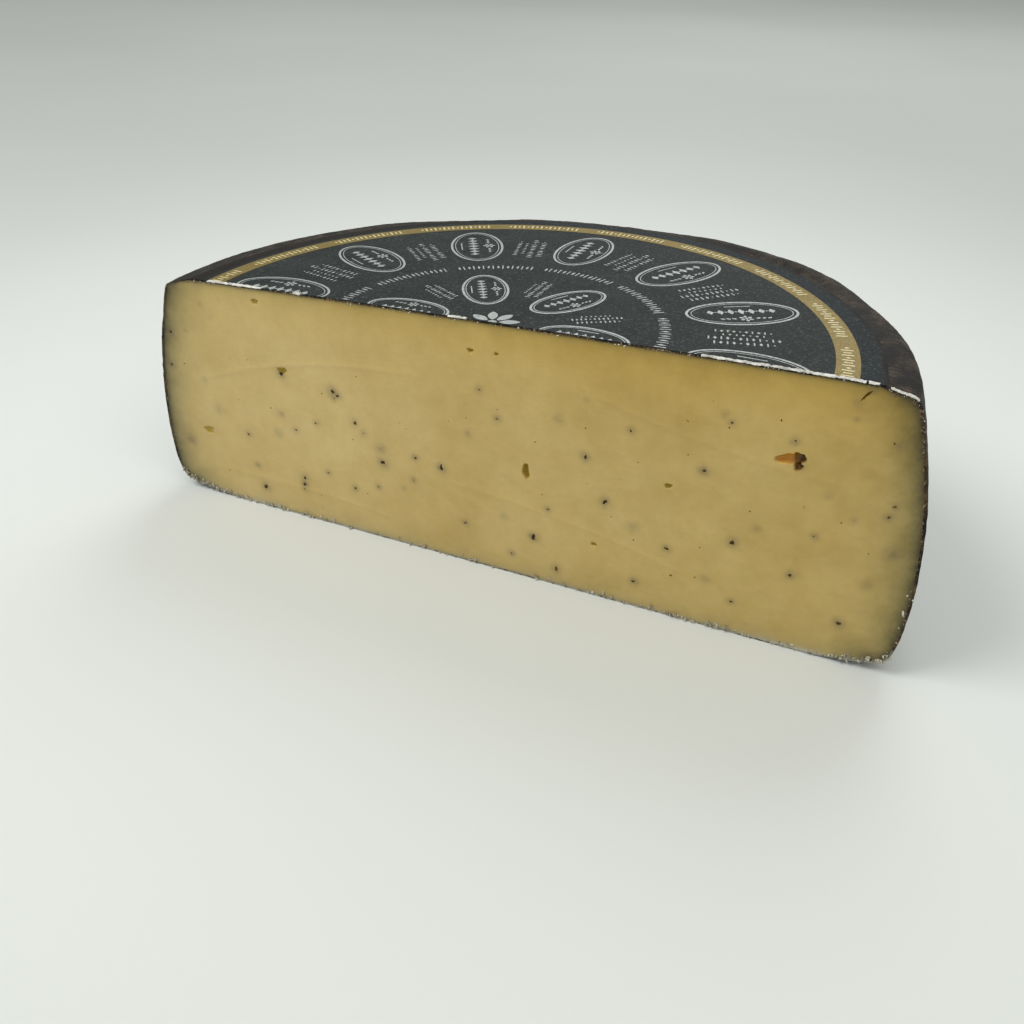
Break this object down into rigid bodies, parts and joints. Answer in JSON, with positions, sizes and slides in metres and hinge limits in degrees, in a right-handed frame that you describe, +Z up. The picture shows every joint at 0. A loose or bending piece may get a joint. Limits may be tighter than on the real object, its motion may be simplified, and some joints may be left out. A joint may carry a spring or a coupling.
{
  "type": "half cheese wheel",
  "caption": "Half of a round semi-hard cheese wheel lying flat, with a flat knife-cut face, a dark washed rind and half of a round paper label on top.",
  "frame": {"origin": "under the middle of the bounding box, on the surface that the underside rests on", "axes": "+X along the cut face, towards the slightly thicker end; -Y out of the cut face; +Z up, along the whole wheel's axis"},
  "size_m": [0.26, 0.13, 0.0912],
  "materials": {
    "paste": "pale golden cut cheese with dark truffle flecks, slightly greasy",
    "rind": "near-black cloth-marked rind with a dusty grey bloom and brown streaks on the shoulder",
    "label": "dark charcoal printed paper, fine pale speckle, torn white edge at the cut",
    "print": "pale grey printed marks on the label",
    "gold_print": "dull gold printed ring on the label"
  },
  "bodies": {
    "root": {"cheese": "paste", "paper_label": "label"}
  },
  "joints": []
}
